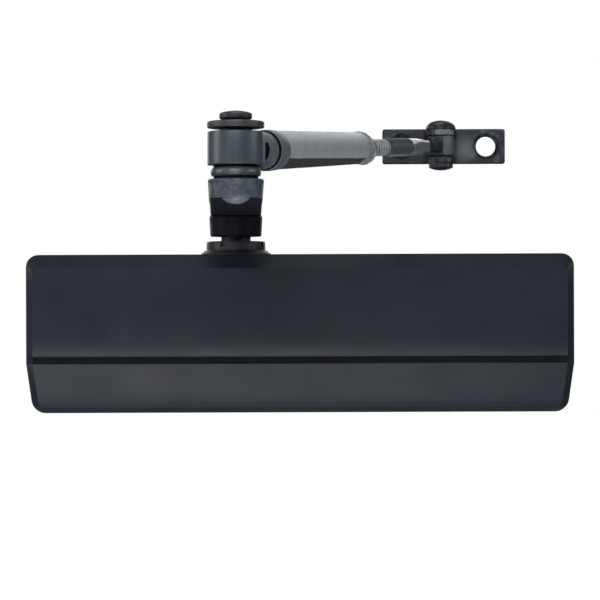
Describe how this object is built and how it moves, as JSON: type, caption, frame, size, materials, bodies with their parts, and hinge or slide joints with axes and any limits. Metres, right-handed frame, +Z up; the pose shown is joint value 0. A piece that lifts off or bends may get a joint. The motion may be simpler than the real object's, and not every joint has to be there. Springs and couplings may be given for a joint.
{
  "type": "door closer",
  "caption": "Surface-mounted hydraulic door closer: long rounded cover, spindle on top, main arm, adjustable tubular forearm and a screw-on shoe.",
  "frame": {"origin": "centre of the closer's back plane, where it lies on the door, in the middle of the four plate bolts", "axes": "+X along the cover to the reader's right, +Y into the door through the back plane, +Z up along the spindle"},
  "size_m": [0.3, 0.2612, 0.1632],
  "materials": {
    "cover_paint": "satin anthracite powder coat",
    "trim_paint": "dark satin paint",
    "arm_paint": "dark paint over a rough forging",
    "tube_finish": "grey satin paint",
    "bare_steel": "bright turned steel",
    "dark_steel": "blackened steel",
    "housing_aluminium": "sand-cast aluminium",
    "plate_steel": "zinc-plated sheet",
    "valve_brass": "turned brass",
    "bronze": "sintered bronze",
    "spring_steel": "oiled spring wire",
    "seal_rubber": "matte rubber",
    "black_plastic": "moulded plastic"
  },
  "bodies": {
    "closer_body": {"cover_shell": "cover_paint", "mounting_plate": "plate_steel", "housing_screws": "plate_steel", "cover_clips": "plate_steel", "housing": "housing_aluminium", "left_end_cap": "dark_steel", "right_end_cap": "dark_steel", "end_cap_seals": "seal_rubber", "main_spring": "spring_steel", "upper_bearing": "bronze", "lower_bearing": "bronze", "shaft_seals": "seal_rubber", "upper_pinion_cap": "trim_paint", "lower_pinion_cap": "dark_steel", "spindle_trim_ring": "trim_paint", "lower_spindle_cap": "black_plastic"},
    "piston_body": {"piston": "bare_steel", "piston_seal": "seal_rubber", "check_valve": "bare_steel"},
    "spring_seat_body": {"spring_seat": "dark_steel"},
    "adjuster_body": {"spring_adjust_screw": "dark_steel"},
    "sweep_valve_body": {"sweep_valve": "valve_brass", "sweep_valve_seal": "seal_rubber"},
    "latch_valve_body": {"latch_valve": "valve_brass", "latch_valve_seal": "seal_rubber"},
    "backcheck_valve_body": {"backcheck_valve": "valve_brass", "backcheck_valve_seal": "seal_rubber"},
    "spindle_body": {"pinion_shaft": "bare_steel", "main_arm": "arm_paint", "arm_washer": "dark_steel", "arm_screw": "dark_steel", "elbow_pin": "dark_steel", "elbow_spacer": "dark_steel", "elbow_spring_washer": "dark_steel", "elbow_washer": "dark_steel"},
    "forearm_body": {"forearm_eye": "tube_finish", "elbow_bush": "bronze", "forearm_ferrule": "tube_finish", "forearm_tube": "tube_finish", "tube_nose": "tube_finish"},
    "rod_body": {"adjust_rod": "bare_steel"},
    "shoe_body": {"shoe_bracket": "trim_paint", "shoe_pin": "trim_paint"}
  },
  "joints": [
    {"name": "spindle_turn", "type": "hinge", "parent": "closer_body", "child": "spindle_body", "pos_m": [-0.0357, -0.03, 0], "axis": [0, 0, 1], "range_deg": [0, 180], "stiffness_Nm_per_rad": 6, "springref_deg": -45.84},
    {"name": "piston_slide", "type": "slide", "parent": "closer_body", "child": "piston_body", "axis": [1, 0, 0], "range_m": [0, 0.0283], "deforming": ["main_spring"]},
    {"name": "elbow_turn", "type": "hinge", "parent": "spindle_body", "child": "forearm_body", "pos_m": [-0.0293, -0.248, 0.08765], "axis": [0, 0, 1], "continuous": true},
    {"name": "rod_adjust", "type": "slide", "parent": "forearm_body", "child": "rod_body", "axis": [0.4198, 0.9048, 0.0707], "range_m": [-0.03, 0.02]},
    {"name": "shoe_turn", "type": "hinge", "parent": "rod_body", "child": "shoe_body", "pos_m": [0.0802, -0.012, 0.1052], "axis": [0, 0, 1], "range_deg": [-110, 60]},
    {"name": "spring_adjust_turn", "type": "hinge", "parent": "closer_body", "child": "adjuster_body", "pos_m": [0.118, -0.03, 0], "axis": [1, 0, 0], "range_deg": [0, 1800]},
    {"name": "spring_seat_slide", "type": "slide", "parent": "closer_body", "child": "spring_seat_body", "axis": [-1, 0, 0], "range_m": [0, 0.0075], "deforming": ["main_spring"]},
    {"name": "sweep_valve_turn", "type": "hinge", "parent": "closer_body", "child": "sweep_valve_body", "pos_m": [0.118, -0.012, 0.023], "axis": [1, 0, 0], "range_deg": [0, 720]},
    {"name": "latch_valve_turn", "type": "hinge", "parent": "closer_body", "child": "latch_valve_body", "pos_m": [0.118, -0.012, -0.023], "axis": [1, 0, 0], "range_deg": [0, 720]},
    {"name": "backcheck_valve_turn", "type": "hinge", "parent": "closer_body", "child": "backcheck_valve_body", "pos_m": [0.118, -0.048, 0.023], "axis": [1, 0, 0], "range_deg": [0, 720]}
  ],
  "couplings": [
    {"joint": "piston_slide", "follows": "spindle_turn", "m_per_rad": 0.009},
    {"joint": "spring_adjust_turn", "follows": "spring_seat_slide", "rad_per_m": 4188.8}
  ]
}
